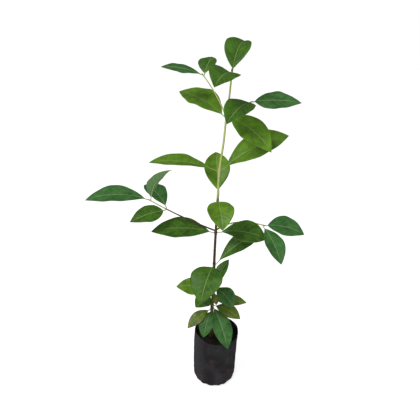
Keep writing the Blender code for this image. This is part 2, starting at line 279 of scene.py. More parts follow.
# Limbs: the joint each leaves, how far above it, its middle and end points, and its end radii.
# A knot is the share of the limb's length where a pair of leaves joins it.
LIMBS = {
    "left_bough": dict(joint="fourth", above=0.006, middle=(-0.060, 0.002, 0.459),
                       end=(-0.1372, 0.0000, 0.5053), radii=(0.0018, 0.0011), knot=0.74),
    "right_bough": dict(joint="fourth", above=0.007, middle=(0.040, 0.029, 0.4335),
                        end=(0.1085, 0.0100, 0.4378), radii=(0.0018, 0.0012), knot=None),
    "left_twig": dict(joint="first", above=0.006, middle=(-0.001, -0.002, 0.7255),
                      end=(-0.0233, 0.0000, 0.7583), radii=(0.0013, 0.0010), knot=None),
    "right_twig": dict(joint="first", above=0.006, middle=(0.044, 0.002, 0.6985),
                       end=(0.0663, 0.0000, 0.7095), radii=(0.0013, 0.0010), knot=None),
}
LIMB_STEP = 0.02
TIP_SHARE = 0.985

# Leaves: the joint or limb that carries each, its length and width, and angles in degrees. Heading
# 0 is +X and 90 is away from the viewer. Roll lifts the left half, seen from the stalk. The belly
# is the share of the length where a leaf is widest.
LEAVES = {
    "leaf_top_back": dict(
        at="top", heading=68, rise=73, length=0.085, width=0.053, droop=75, fold=25, roll=10, belly=0.50),
    "leaf_top_front": dict(
        at="top", heading=247, rise=15, length=0.083, width=0.058, droop=45,
        fold=14, roll=-16, belly=0.38),
    "leaf_left_twig_end": dict(
        at="left_twig", heading=190, rise=26, length=0.077, width=0.036, droop=28, fold=0, roll=-15),
    "leaf_left_twig_back": dict(
        at="left_twig", heading=68, rise=50, length=0.046, width=0.037, droop=30, fold=15),
    "leaf_first_left": dict(
        at="first", heading=150, rise=37, length=0.110, width=0.070, droop=35, fold=10, roll=-11),
    "leaf_first_right": dict(
        at="first", heading=330, rise=-6, length=0.110, width=0.060, droop=48,
        fold=5, roll=22, belly=0.45),
    "leaf_right_twig_end": dict(
        at="right_twig", heading=350, rise=12, length=0.092, width=0.056, droop=22,
        fold=0, roll=20, belly=0.42),
    "leaf_right_twig_front": dict(
        at="right_twig", heading=236, rise=8, length=0.088, width=0.056, droop=45,
        fold=10, roll=-8, belly=0.40),
    "leaf_second_right": dict(
        at="second", heading=5, rise=45, length=0.152, width=0.076, droop=35,
        fold=10, roll=20, belly=0.56),
    "leaf_second_left": dict(
        at="second", heading=183, rise=26, length=0.140, width=0.054, droop=35,
        fold=10, roll=-5, belly=0.56),
    "leaf_third_back": dict(
        at="third", heading=93, rise=65, length=0.098, width=0.056, droop=45, fold=15),
    "leaf_third_front": dict(
        at="third_low", heading=277, rise=10, length=0.080, width=0.056, droop=70, fold=12, belly=0.45),
    "leaf_fourth_left": dict(
        at="fourth", heading=185, rise=22, length=0.137, width=0.063, droop=36, fold=6, roll=-14),
    "leaf_fourth_right": dict(
        at="fourth", heading=355, rise=18, length=0.110, width=0.067, droop=48,
        fold=8, roll=15, belly=0.57),
    "leaf_left_bough_end": dict(
        at="left_bough", heading=190, rise=27, length=0.132, width=0.055, droop=45, fold=8, roll=-12),
    "leaf_left_bough_up": dict(
        at="left_bough", heading=335, rise=86, length=0.100, width=0.040, droop=64, fold=12, roll=-20),
    "leaf_left_knot_low": dict(
        at="left_knot", heading=208, rise=6, length=0.080, width=0.045, droop=24,
        fold=4, roll=-22, belly=0.40),
    "leaf_left_knot_up": dict(
        at="left_knot", heading=139, rise=56, length=0.078, width=0.048, droop=60, fold=15),
    "leaf_right_bough_end": dict(
        at="right_bough", heading=350, rise=13, length=0.089, width=0.060, droop=45,
        fold=8, roll=15, belly=0.45),
    "leaf_right_bough_down": dict(
        at="right_bough", heading=298, rise=-16, length=0.094, width=0.046, droop=42, fold=12),
    "leaf_fifth_right": dict(
        at="fifth", heading=18, rise=50, length=0.130, width=0.048, droop=40, fold=8, roll=15, belly=0.57),
    "leaf_fifth_front": dict(
        at="fifth", heading=248, rise=-5, length=0.096, width=0.075, droop=60, fold=12, belly=0.38),
    "leaf_sixth_back": dict(
        at="sixth_top", heading=50, rise=58, length=0.070, width=0.030, droop=30, fold=15),
    "leaf_sixth_right": dict(
        at="sixth_top", heading=316, rise=5, length=0.064, width=0.045, droop=60, fold=12, roll=5),
    "leaf_sixth_front": dict(
        at="sixth_low", heading=228, rise=20, length=0.056, width=0.040, droop=32, fold=8, roll=-10),
    "leaf_sixth_small": dict(
        at="sixth", heading=283, rise=-25, length=0.030, width=0.016, droop=30, fold=10),
    "leaf_sixth_left": dict(
        at="sixth", heading=180, rise=30, length=0.085, width=0.048, droop=42, fold=2, roll=-18),
    "leaf_foot_far_right": dict(
        at="foot_high", heading=348, rise=20, length=0.077, width=0.032, droop=28, fold=5, roll=15),
    "leaf_foot_right": dict(
        at="foot_top", heading=331, rise=10, length=0.072, width=0.036, droop=40, fold=8, roll=15),
    "leaf_foot_front": dict(
        at="foot_top", heading=294, rise=-15, length=0.106, width=0.047, droop=45, fold=12),
    "leaf_foot_front_left": dict(
        at="foot", heading=249, rise=-15, length=0.068, width=0.036, droop=50, fold=12),
    "leaf_foot_left": dict(
        at="foot", heading=215, rise=1, length=0.071, width=0.029, droop=45, fold=4, roll=-20),
}
STALK_SHARE = 0.07
STALK_HALF = 0.0008
STALK_THICK = 0.0014
TIP_HALF = 0.0004
BASE_POWER = 0.95
TIP_POWER = 0.90

# %% [markdown]
# The rules that turn those sizes into places are the same ones that made the solids, so a fine
# piece always lands on its own solid.

# %% Rules for the bag and its soil
def turned_distance(angle, centre):
    return abs((math.degrees(angle) - centre + 180.0) % 360.0 - 180.0)


def bag_point(angle, radius, height):
    """A point of the bag's side: higher up it leans to the right and is dented at front left."""
    share = max(0.0, height / BAG_HEIGHT)
    dent = DENT_DEPTH * math.exp(-(turned_distance(angle, DENT_ANGLE) / DENT_SPREAD) ** 2)
    reach = radius - dent * share ** 2
    sway = RIM_SWAY * share ** 4 * math.sin(angle + math.radians(SWAY_ANGLE))
    return Vector((RIM_SHIFT * share ** 2 + reach * math.cos(angle), reach * math.sin(angle),
                   height + sway))


def bag_profile():
    """Radius and height up the bag's side, from the underside's edge to the rim."""
    levels = []
    for i in range(CORNER_LEVELS + 1):
        turn = math.radians(90.0 * i / CORNER_LEVELS)
        levels.append((FLAT_RADIUS + (BAG_RADIUS - FLAT_RADIUS - LOW_TAPER) * math.sin(turn),
                       CORNER_HEIGHT * (1.0 - math.cos(turn))))
    low_radius, low_height = levels[-1]
    for i in range(1, WALL_LEVELS + 1):
        share = i / WALL_LEVELS
        levels.append((low_radius + (BAG_RADIUS - low_radius) * share,
                       low_height + (BAG_HEIGHT - low_height) * share))
    return levels


def soil_top_height(share):
    return SOIL_TOP + SOIL_RISE * (1.0 - share * share)


# %% Rules for the stem
def stem_centre(height):
    """A smooth line through the stem's course."""
    course = STEM_COURSE
    if height >= course[-1][0]:
        return Vector((course[-1][1], 0.0, height))
    index = max(i for i, (level, _) in enumerate(course) if level <= height or i == 0)
    low, low_x = course[index]
    high, high_x = course[index + 1]
    before = course[index - 1] if index else (low - (high - low), low_x - (high_x - low_x))
    after = course[index + 2] if index + 2 < len(course) else (high + (high - low), 2 * high_x - low_x)
    start_slope = (high_x - before[1]) / (high - before[0])
    end_slope = (after[1] - low_x) / (after[0] - low)
    span = high - low
    t = (height - low) / span
    x = ((2 * t ** 3 - 3 * t ** 2 + 1) * low_x + (t ** 3 - 2 * t ** 2 + t) * span * start_slope
         + (3 * t ** 2 - 2 * t ** 3) * high_x + (t ** 3 - t ** 2) * span * end_slope)
    return Vector((x, 0.0, height))


def swelling(distance):
    return 1.0 + SWELL_SHARE * math.exp(-(distance / SWELL_REACH) ** 2)


def stem_radius(height):
    foot = STEM_COURSE[0][0]
    share = (height - foot) / (STEM_COURSE[-1][0] - foot)
    radius = STEM_FOOT_RADIUS + (STEM_TOP_RADIUS - STEM_FOOT_RADIUS) * share ** STEM_TAPER_POWER
    radius += FLARE_RADIUS * math.exp(-((height - foot) / FLARE_HEIGHT) ** 2)
    nearest = min(abs(height - joint) for joint in JOINTS.values())
    return radius * swelling(nearest)


# %% Rules for limbs and for where a leaf starts
def surface_start(height, heading, rise, half):
    """Where a stalk or limb begins: clear of the stem's skin by the gap."""
    turn = math.radians(heading)
    outward = Vector((math.cos(turn), math.sin(turn), 0.0))
    reach = max(stem_radius(height + offset) for offset in (-half, 0.0, half))
    return stem_centre(height) + outward * (reach + GAP + half * abs(math.sin(math.radians(rise))))


def limb_line(name):
    """Start, middle and end of a limb; its line is a curve through all three."""
    limb = LIMBS[name]
    middle = Vector(limb["middle"])
    end = Vector(limb["end"])
    height = JOINTS[limb["joint"]] + limb["above"]
    away = middle - stem_centre(height)
    heading = math.degrees(math.atan2(away.y, away.x))
    rise = math.degrees(math.atan2(away.z, math.hypot(away.x, away.y)))
    start = surface_start(height, heading, rise, limb["radii"][0])
    return start, middle, end


def limb_point(name, share):
    """A curve through the limb's three points, as a polynomial of the second degree."""
    start, middle, end = limb_line(name)
    first = (middle - start).length
    knee = first / (first + (end - middle).length)
    a = (share - knee) * (share - 1.0) / knee
    b = share * (share - 1.0) / (knee * (knee - 1.0))
    c = share * (share - knee) / (1.0 - knee)
    return start * a + middle * b + end * c


def limb_direction(name, share):
    low = max(0.0, share - LIMB_STEP)
    high = min(1.0, share + LIMB_STEP)
    return (limb_point(name, high) - limb_point(name, low)).normalized()


def limb_radius(name, share):
    limb = LIMBS[name]
    start, end = limb["radii"]
    radius = start + (end - start) * share
    length = (Vector(limb["end"]) - limb_line(name)[0]).length
    knots = [1.0] + ([limb["knot"]] if limb["knot"] else [])
    nearest = min(abs(share - knot) for knot in knots) * length
    return radius * swelling(nearest)


def blade_half(share, width, belly):
    """Half the blade's width along its length: none at stalk and tip, the most at the belly."""
    t = (share - STALK_SHARE) / (1.0 - STALK_SHARE)
    if t <= 0.0:
        return STALK_HALF
    wave = max(0.0, math.sin(math.pi * t ** (math.log(0.5) / math.log(belly))))
    half = width / 2.0 * wave ** (BASE_POWER if t < belly else TIP_POWER)
    return max(half, STALK_HALF if t < belly else TIP_HALF)


def leaf_start(leaf):
    """The stalk's first point, clear of what carries it."""
    at = leaf["at"]
    if at in JOINTS:
        return surface_start(JOINTS[at], leaf["heading"], leaf["rise"], STALK_THICK / 2.0)
    name, share = ("left_bough", LIMBS["left_bough"]["knot"]) if at == "left_knot" else (at, TIP_SHARE)
    turn = math.radians(leaf["heading"])
    climb = math.radians(leaf["rise"])
    outward = Vector((math.cos(climb) * math.cos(turn), math.cos(climb) * math.sin(turn), math.sin(climb)))
    along = limb_direction(name, share)
    across = outward - along * outward.dot(along)
    if at != "left_knot" and across.length < 0.5:
        return limb_point(name, 1.0) + along * GAP + outward * (STALK_HALF * across.length)
    tilt = STALK_THICK / 2.0 * abs(outward.dot(along)) / max(across.length, 0.3)
    reach = limb_radius(name, share) + GAP + tilt
    return limb_point(name, share) + across.normalized() * reach


# %% [markdown]
# The bag is thin black plastic film, filled and pulled into a tube. Its bottom corners are
# gathered, its sides carry soft upright folds and small sharp creases, and its rim was never
# trimmed straight. A cylinder is cut into rings, laid along the bag's outline and creased by
# layered noise, and a Solidify modifier then gives the film its thickness.

# %% Lay the film bag
FILM = 0.0005
FILM_SIDES = 220
FILM_RINGS = 110
FLOOR_SHARE = 0.16
FLOOR_HOLE = 0.002

# Upright folds: how many go round, how far they lean with height, their share and their start
FOLDS = ((5.0, 40.0, 1.0, 0.0), (11.0, -25.0, 0.6, 1.3))
FOLD_DEPTH = 0.00035

# Creases: the depth of them all, then each kind's scale, share and place in the noise
CREASE_DEPTH = 0.0011
CREASES = ((62.0, 0.5, (0.0, 0.0, 0.0)), (150.0, 0.25, (3.0, 1.0, 7.0)))
CREASE_RADIUS = 0.055

# Pleats round the bottom, which fade out with height
PLEATS = 17
PLEAT_DEPTH = 0.0009
PLEAT_HEIGHT = 0.016
PLEAT_DRIFT = 30.0

# The film's mean surface lies this far inside the solid's, and is smooth where it meets the floor
FILM_INSET = 0.0004
SMOOTH_HEIGHT = 0.004
RIM_WAVE = 0.0012
RIM_WAVE_SCALE = 2.2


def film_outline(share):
    """Radius and height from the middle of the underside, round the corner and up to the rim."""
    if share < FLOOR_SHARE:
        return FLOOR_HOLE + (FLAT_RADIUS - FLOOR_HOLE) * share / FLOOR_SHARE, 0.0
    levels = bag_profile()
    lengths = [math.dist(a, b) for a, b in zip(levels, levels[1:])]
    along = (share - FLOOR_SHARE) / (1.0 - FLOOR_SHARE) * sum(lengths)
    for (low, high), length in zip(zip(levels, levels[1:]), lengths):
        if along <= length or high is levels[-1]:
            part = min(1.0, along / length)
            return low[0] + (high[0] - low[0]) * part, low[1] + (high[1] - low[1]) * part
        along -= length


def creases(turn, height):
    """How far the film stands out or in here: folds, creases, and pleats near the bottom."""
    spot = Vector((math.cos(turn) * CREASE_RADIUS, math.sin(turn) * CREASE_RADIUS, height))
    folds = sum(share * math.sin(count * turn + lean * height + start)
                for count, lean, share, start in FOLDS)
    sharp = sum(share * (1.0 - 2.0 * abs(noise.noise(spot * scale + Vector(start)))) ** 3
                for scale, share, start in CREASES)
    low = math.exp(-(height / PLEAT_HEIGHT) ** 2)
    pleat = math.sin(PLEATS * turn + 2.0 * noise.noise(spot * PLEAT_DRIFT))
    return FOLD_DEPTH * folds + CREASE_DEPTH * sharp + PLEAT_DEPTH * low * pleat - FILM_INSET


def lay_film(turn, share):
    """A point of the film: creased on its side, wavy at its rim and flat underneath."""
    radius, height = film_outline(share)
    out = creases(turn, height) * min(1.0, height / SMOOTH_HEIGHT)
    round_rim = Vector((math.cos(turn) * RIM_WAVE_SCALE, math.sin(turn) * RIM_WAVE_SCALE, 4.0))
    rim = RIM_WAVE * noise.noise(round_rim)
    spot = bag_point(turn, radius + out, height)
    spot.z = max(0.0, spot.z + rim * (height / BAG_HEIGHT) ** 6)
    if share < FLOOR_SHARE:
        spot.z = 0.0
    return spot


bag = tube("film_bag", FILM_SIDES, FILM_RINGS, lay_film)
only(bag)
bpy.ops.object.mode_set(mode="EDIT")
bpy.ops.mesh.select_mode(type="FACE")
bpy.ops.mesh.select_all(action="DESELECT")
mesh = bmesh.from_edit_mesh(bag.data)
for face in mesh.faces:
    face.select = len(face.verts) > 4 and face.calc_center_median().z > BAG_HEIGHT / 2.0
bmesh.update_edit_mesh(bag.data)
bpy.ops.mesh.delete(type="ONLY_FACE")
bpy.ops.object.mode_set(mode="OBJECT")
thicken(bag, FILM)
face_outwards(bag)
print("film bag", triangles(bag), "triangles")

# %% [markdown]
# The potting soil fills the bag to about two centimetres below the rim. It is dark and moist, with
# lumps and crumbs. Its body is one more tube of rings, closed over the top, roughened by noise;
# the crumbs are one small rounded lump, copied many times at different sizes.

# %% Fill the bag with soil
SOIL_SIDES = 150
SOIL_LEVELS = 110
SOIL_INSET = 0.0024
SOIL_SIDE_SHARE = 0.35
SOIL_FOOT = 0.004
SOIL_CORNER = 0.012
SOIL_EDGE_GAP = 0.0005
SOIL_SINK = 0.0008
SOIL_LUMPS = ((90.0, 0.0016), (260.0, 0.0009))
INNER_RING = 0.004


def lay_soil(turn, share):
    """First up the side, then over the top towards the stem."""
    if share < SOIL_SIDE_SHARE:
        height = SOIL_FOOT + (SOIL_TOP - SOIL_FOOT) * share / SOIL_SIDE_SHARE
        low = min(1.0, (height - SOIL_FOOT) / SOIL_CORNER)
        radius = FLAT_RADIUS + (BAG_RADIUS - LOW_TAPER - FLAT_RADIUS) * math.sin(low * math.pi / 2.0)
        return bag_point(turn, radius - SOIL_INSET, height)
    inward = 1.0 - (share - SOIL_SIDE_SHARE) / (1.0 - SOIL_SIDE_SHARE)
    edge = bag_point(turn, BAG_RADIUS - SOIL_EDGE_GAP - SOIL_INSET, SOIL_TOP)
    middle = Vector((STEM_COURSE[0][1], 0.0, SOIL_TOP))
    spot = middle + (edge - middle) * max(INNER_RING, inward)
    lumps = sum(noise.noise(spot * scale) * high for scale, high in SOIL_LUMPS)
    spot.z = soil_top_height(inward) + lumps * min(1.0, 6.0 * (1.0 - inward)) - SOIL_SINK
    return spot


soil = tube("potting_soil", SOIL_SIDES, SOIL_LEVELS, lay_soil)
face_outwards(soil)
print("soil", triangles(soil), "triangles")

# %% Strew crumbs over the soil
CRUMBS = 420
CRUMB_LEAST = 0.0006
CRUMB_SPREAD = 0.0016
CRUMB_DENTS = 0.35
CRUMB_LIFT = 0.2
CRUMB_WIDTHS = (0.7, 1.3)
CRUMB_HEIGHTS = (0.6, 1.0)

select_nothing()
bpy.ops.mesh.primitive_ico_sphere_add(subdivisions=1, radius=1.0)
crumb = named("crumb")
corners = [vertex.co * (1.0 + CRUMB_DENTS * noise.noise(vertex.co * 2.0))
           for vertex in crumb.data.vertices]
facets = [tuple(face.vertices) for face in crumb.data.polygons]
bpy.data.objects.remove(crumb)
points, faces = [], []
for _ in range(CRUMBS):
    turn = chance.uniform(0.0, TURN)
    share = math.sqrt(chance.uniform(0.01, 0.86))
    edge = bag_point(turn, BAG_RADIUS - SOIL_INSET, SOIL_TOP)
    middle = Vector((STEM_COURSE[0][1], 0.0, SOIL_TOP))
    spot = middle + (edge - middle) * share
    size = CRUMB_LEAST + CRUMB_SPREAD * chance.random() ** 3
    spot.z = soil_top_height(share) + CRUMB_LIFT * size
    squash = Vector([chance.uniform(*span) for span in (CRUMB_WIDTHS, CRUMB_WIDTHS, CRUMB_HEIGHTS)]) * size
    spin = chance.uniform(0.0, TURN)
    start = len(points)
    for corner in corners:
        x = corner.x * squash.x
        y = corner.y * squash.y
        points.append((spot.x + x * math.cos(spin) - y * math.sin(spin),
                       spot.y + x * math.sin(spin) + y * math.cos(spin), spot.z + corner.z * squash.z))
    faces += [tuple(start + i for i in facet) for facet in facets]
data = bpy.data.meshes.new("soil_crumbs")
data.from_pydata(points, [], faces)
crumbs = bpy.data.objects.new("soil_crumbs", data)
bpy.context.scene.collection.objects.link(crumbs)
face_outwards(crumbs)
print("crumbs", triangles(crumbs), "triangles")

# %% [markdown]
# The stem is woody and dark in its lower half, with fine upright cracks, and smooth and pale green
# above. Every joint is a little swollen, with the ring that old leaf stalks leave. All of it is
# relief on one tube; the apex ends in a small pointed bud.

# %% Grow the stem
STEM_ROUND = 28
STEM_RINGS = 420
STEM_BURIED = 0.004

# Old bark: the height where it ends, the height over which it does, and its cracks
OLD_BARK_TOP = 0.512
OLD_BARK_FADE = 0.010
CRACK_DEPTH = 0.00030
CRACK_SCALE = 2.3
CRACK_LENGTH = 45.0
UNEVEN_DEPTH = 0.00006
UNEVEN_LENGTH = 160.0

# The ring that old leaf stalks leave: how far it stands out, how far above its joint, how wide
SCAR_HEIGHT = 0.00022
SCAR_ABOVE = 0.0016
SCAR_WIDTH = 0.0006


def bark_relief(turn, height):
    """Upright cracks in the old wood and a fine unevenness above it."""
    old = 1.0 / (1.0 + math.exp((height - OLD_BARK_TOP) / OLD_BARK_FADE))
    spot = Vector((math.cos(turn) * 1.1, math.sin(turn) * 1.1, height * CRACK_LENGTH))
    cracks = abs(noise.noise(spot * CRACK_SCALE)) - 0.25
    uneven = noise.noise(Vector((math.cos(turn), math.sin(turn), height * UNEVEN_LENGTH)))
    return old * CRACK_DEPTH * cracks + (UNEVEN_DEPTH + UNEVEN_DEPTH * old) * uneven


def scar(height, joint):
    """A narrow raised ring just above a joint's swelling."""
    return SCAR_HEIGHT * math.exp(-((height - joint - SCAR_ABOVE) / SCAR_WIDTH) ** 2)


def lay_stem(turn, share):
    """A point of the bark, from a little under the soil's top to the foot of the apex bud."""
    foot = soil_top_height(0.0) - STEM_BURIED
    height = foot + (STEM_COURSE[-1][0] - BUD_LENGTH - foot) * share
    radius = stem_radius(max(height, STEM_COURSE[0][0])) + bark_relief(turn, height)
    radius += sum(scar(height, joint) for joint in JOINTS.values())
    return stem_centre(height) + radius * Vector((math.cos(turn), math.sin(turn), 0.0))


stem = tube("stem_bark", STEM_ROUND, STEM_RINGS, lay_stem)
face_outwards(stem)
print("stem", triangles(stem), "triangles")

# %% [markdown]
# The limbs are thinner tubes along the same curves as their solids. Each starts a little inside
# the stem, as a grown limb does, and ends in a small bud between its last two leaves.

# %% Grow the limbs
LIMB_ROUND = 18
LIMB_RINGS = 150
LIMB_UNEVEN = 0.03
LIMB_UNEVEN_LENGTH = 120.0

# A limb's foot reaches this far into the stem, over this much of its length
LIMB_BURIED = 0.0016
LIMB_FOOT = 0.004


def lay_limb(name):
    """The rule that lays one limb's rings."""
    length = (Vector(LIMBS[name]["end"]) - limb_line(name)[0]).length

    def place(turn, share):
        along = limb_direction(name, share)
        side = along.cross(Vector((0.0, 1.0, 0.0))).normalized()
        other = along.cross(side)
        buried = max(0.0, 1.0 - share * length / LIMB_FOOT)
        around = Vector((math.cos(turn), math.sin(turn), share * length * LIMB_UNEVEN_LENGTH))
        radius = limb_radius(name, share) * (1.0 + LIMB_UNEVEN * noise.noise(around))
        centre = limb_point(name, share) - along * LIMB_BURIED * buried
        return centre + radius * (math.cos(turn) * side + math.sin(turn) * other)

    return place


limbs = {}
for name in LIMBS:
    limbs[name] = tube(name + "_bark", LIMB_ROUND, LIMB_RINGS, lay_limb(name))
    face_outwards(limbs[name])
print("limbs", {name: triangles(piece) for name, piece in limbs.items()})

# %% Set a bud on the stem's apex and on each limb's end
BUD_ROUND = 14
BUD_RINGS = 18
APEX_BUD_RADIUS = 0.0019
APEX_BUD_SUNK = 0.0004
LIMB_BUD_LENGTH = 0.0042
LIMB_BUD_RADIUS = 0.0011
LIMB_BUD_SUNK = 0.0003

# A bud's foot starts this far round its sideways swell, and its seam is this deep and this wide
BUD_START = 0.16
SEAM_DEPTH = 0.12
SEAM_WIDTH = 0.25
BUD_FLATNESS = 0.75


def set_bud(name, centre, along, length, radius):
    """A pointed bud: widest a third of the way up, with two flat scales pressed together."""
    side = along.cross(Vector((0.0, 1.0, 0.0))).normalized()
    other = along.cross(side)

    def place(turn, share):
        swell = min(0.995, BUD_START + (1.0 - BUD_START) * share)
        wide = radius * math.sin(math.pi * swell ** 0.8)
        seam = 1.0 - SEAM_DEPTH * math.exp(-(math.sin(turn) / SEAM_WIDTH) ** 2)
        out = math.cos(turn) * side * wide + math.sin(turn) * other * wide * BUD_FLATNESS * seam
        return centre + along * length * share + out

    piece = tube(name, BUD_ROUND, BUD_RINGS, place)
    face_outwards(piece)
    return piece


stem_top = STEM_COURSE[-1][0]
apex = stem_centre(stem_top - BUD_LENGTH - APEX_BUD_SUNK)
apex_direction = (stem_centre(stem_top) - apex).normalized()
buds = [set_bud("apex_bud", apex, apex_direction, BUD_LENGTH, APEX_BUD_RADIUS)]
for name in LIMBS:
    end = limb_direction(name, 1.0)
    foot = limb_point(name, 1.0) - end * LIMB_BUD_SUNK
    buds.append(set_bud(name + "_bud", foot, end, LIMB_BUD_LENGTH, LIMB_BUD_RADIUS))
print("buds", len(buds))

# %% [markdown]
# A leaf is a thin blade on a short stalk. Its midrib sinks into the upper face and stands out
# below, the side veins leave it in pairs, and the blade swells softly between them, which is what
# breaks up its shine. Each blade starts as a flat grid; its rows follow the midrib's curve, its
# columns spread to the leaf's outline, and Solidify gives it two faces and an edge. Every vertex
# keeps its place on the blade as a vector, so that the finish can draw veins and margins.

# %% Lay a leaf
BLADE_COLUMNS = 26
BLADE_ROWS = 84
BLADE_THICK = 0.00045
BLADE_START = STALK_SHARE * 0.8
EDGE_CROWDING = 1.25

# Side veins: how many pairs, how far they sweep to the tip, and the offset of one side's veins
VEIN_PAIRS = 9.0
VEIN_SWEEP = 0.16
VEIN_OFFSET = 0.35

# The margin's waves: how many along the blade, their share, the seed's pull and their lean across
MARGIN_WAVES = ((1.9, 1.0, 1.0, 0.0), (3.7, 0.6, 2.3, 1.0))
MARGIN_WAVE_SHARE = 0.035
MARGIN_JAG = 0.012
GROOVE_DEPTH = 0.00045
GROOVE_WIDTH = 0.0011
SWELL_HEIGHT = 0.00040
SWELL_FULL_HALF = 0.012

# Stalk and midrib: rings round and along, how far they reach, and their radii
RIB_ROUND = 10
RIB_RINGS = 60
RIB_REACH = 0.86
RIB_RADIUS = 0.00085
RIB_TIP_RADIUS = 0.00012
RIB_BELOW = 0.0002
RIB_START = 0.0009


def midrib(leaf, share):
    """A point of the midrib's arc and the direction there, in closed form."""
    heading = math.radians(leaf["heading"])
    rise = math.radians(leaf["rise"])
    bend = math.radians(leaf["droop"])
    climb = rise - bend * share
    out = leaf["length"] * (math.sin(rise) - math.sin(climb)) / bend
    high = leaf["length"] * (math.cos(climb) - math.cos(rise)) / bend
    flat = Vector((math.cos(heading), math.sin(heading), 0.0))
    return leaf_start(leaf) + flat * out + UP * high, flat * math.cos(climb) + UP * math.sin(climb)


def leaf_axes(leaf, share):
    """The midrib's point, and the blade's side and face directions there."""
    heading = math.radians(leaf["heading"])
    roll = math.radians(leaf.get("roll", 0.0))
    side = Vector((-math.sin(heading), math.cos(heading), 0.0))
    point, along = midrib(leaf, share)
    face = along.cross(side)
    return (point, side * math.cos(roll) + face * math.sin(roll),
            face * math.cos(roll) - side * math.sin(roll))


def vein_nearness(across, share):
    """1 on a side vein and 0 midway between two; veins sweep towards the tip."""
    phase = VEIN_PAIRS * (share - VEIN_SWEEP * (abs(across) + 0.5 * across * across))
    phase += VEIN_OFFSET if across > 0.0 else 0.0
    return abs((phase % 1.0) - 0.5) * 2.0


def blade_lift(leaf, seed, across, share, half):
    """How far the blade stands off its folded plane, along its face."""
    wave = sum(part * math.sin(TURN * (count * share + pull * seed) + lean * across)
               for count, part, pull, lean in MARGIN_WAVES)
    margin = MARGIN_WAVE_SHARE * half * wave * across * across * math.sin(math.pi * share)
    groove = -GROOVE_DEPTH * math.exp(-(across * half / GROOVE_WIDTH) ** 2) * (1.0 - share)
    near = vein_nearness(across, share)
    swell = SWELL_HEIGHT * (1.0 - near ** 6) * min(1.0, half / SWELL_FULL_HALF) * (1.0 - abs(across) ** 4)
    return margin + groove + swell * min(1.0, 6.0 * abs(across))


def lay_blade(name, leaf, seed):
    """One blade: its lower face is laid first, and the wall that is added becomes its upper face."""
    select_nothing()
    bpy.ops.mesh.primitive_grid_add(x_subdivisions=BLADE_COLUMNS, y_subdivisions=BLADE_ROWS, size=2.0)
    piece = named(name)
    rows, metres = [], []
    for vertex in piece.data.vertices:
        spread, along, _ = vertex.co
        across = math.copysign(abs(spread) ** EDGE_CROWDING, spread)
        share = BLADE_START + (1.0 - BLADE_START) * (along + 1.0) / 2.0
        half = blade_half(share, leaf["width"], leaf.get("belly", 0.5))
        ragged = Vector((share * 9.0, seed * 5.0, math.copysign(1.0, across)))
        jag = 1.0 + MARGIN_JAG * noise.noise(ragged)
        point, side, face = leaf_axes(leaf, share)
        stalk = max(0.0, 1.0 - share / (2.0 * STALK_SHARE))
        fold = math.radians(leaf["fold"]) * (1.0 - stalk)
        reach = abs(across) * half
        lift = blade_lift(leaf, seed, across, share, half)
        vertex.co = (point + side * (math.copysign(reach, across) * math.cos(fold) * jag)
                     + face * (reach * math.sin(fold) + lift - BLADE_THICK / 2.0))
        rows.append((across, share, -1.0))
        metres.append((reach, 0.0, 0.0))
    write_attribute(piece, "blade", rows)
    write_attribute(piece, "metres", metres)
    lower = len(piece.data.vertices)
    thicken(piece, BLADE_THICK)
    blade = piece.data.attributes["blade"].data
    for i in range(lower, len(blade)):
        across, share, _ = blade[i].vector
        blade[i].vector = (across, share, 1.0)
    return piece


def lay_rib(name, leaf):
    """The stalk, which runs on under the blade as its midrib and thins out near the tip."""
    def place(turn, share):
        along_share = share * RIB_REACH
        point, side, face = leaf_axes(leaf, along_share)
        _, along = midrib(leaf, along_share)
        thin = RIB_RADIUS * (1.0 - share) ** 0.8 + RIB_TIP_RADIUS
        below = min(1.0, along_share / STALK_SHARE)
        point = point - face * (RIB_BELOW + thin * 0.75) * below - along * RIB_START * (1.0 - below)
        return point + thin * (math.cos(turn) * side - math.sin(turn) * face)

    return tube(name, RIB_ROUND, RIB_RINGS, place)


SEED_STEP = 0.37

leaves = {}
for count, (name, leaf) in enumerate(LEAVES.items()):
    blade = lay_blade(name.replace("leaf_", "blade_"), leaf, SEED_STEP * count)
    face_outwards(blade)
    rib = lay_rib(name.replace("leaf_", "stalk_"), leaf)
    for attribute in ("blade", "metres"):
        write_attribute(rib, attribute, [(0.0, 0.0, 0.0)] * len(rib.data.vertices))
    face_outwards(rib)
    only(blade)
    rib.select_set(True)
    bpy.ops.object.join()
    leaves[name] = blade
print("leaves", len(leaves), "with", sum(triangles(piece) for piece in leaves.values()), "triangles")

# %% [markdown]
# Leaf finish. The upper face is deep green and glossy, with painted shade darkening it beside the veins
# where the blade dips, pale veins and a pale midrib; the lower face is greyer and dull. Old leaves near
# the foot turn yellow in blotches and brown along their margins. One rule makes every leaf's finish,
# and each leaf only names its green.

# %% Leaf finishes
GREENS = {
    "deep": dict(dark=(0.034, 0.112, 0.007), light=(0.092, 0.245, 0.017)),
    "bright": dict(dark=(0.080, 0.195, 0.007), light=(0.190, 0.400, 0.020)),
    "blue": dict(dark=(0.030, 0.120, 0.024), light=(0.082, 0.260, 0.060)),
    "old": dict(dark=(0.085, 0.145, 0.014), light=(0.200, 0.300, 0.042)),
}
PALE_VEIN = (0.340, 0.480, 0.170)
UNDERSIDE = (0.150, 0.230, 0.110)
MARGIN_BROWN = (0.150, 0.055, 0.020)
BLOTCH_YELLOW = (0.330, 0.290, 0.035)
STALK_GREEN = (0.300, 0.400, 0.120)
VEIN_STRENGTH = 0.40
RIB_STRENGTH = 0.85
LEAF_BUMP = 0.00018
LEAF_SHINE = 0.40
BRIGHT_LEAVES = ("first", "second", "third", "sixth_left")
BLUE_LEAVES = ("bough", "twig_end", "knot_up", "foot_front", "sixth_right")
OLD_LEAVES = ("small", "foot_right", "foot_far", "foot_left")


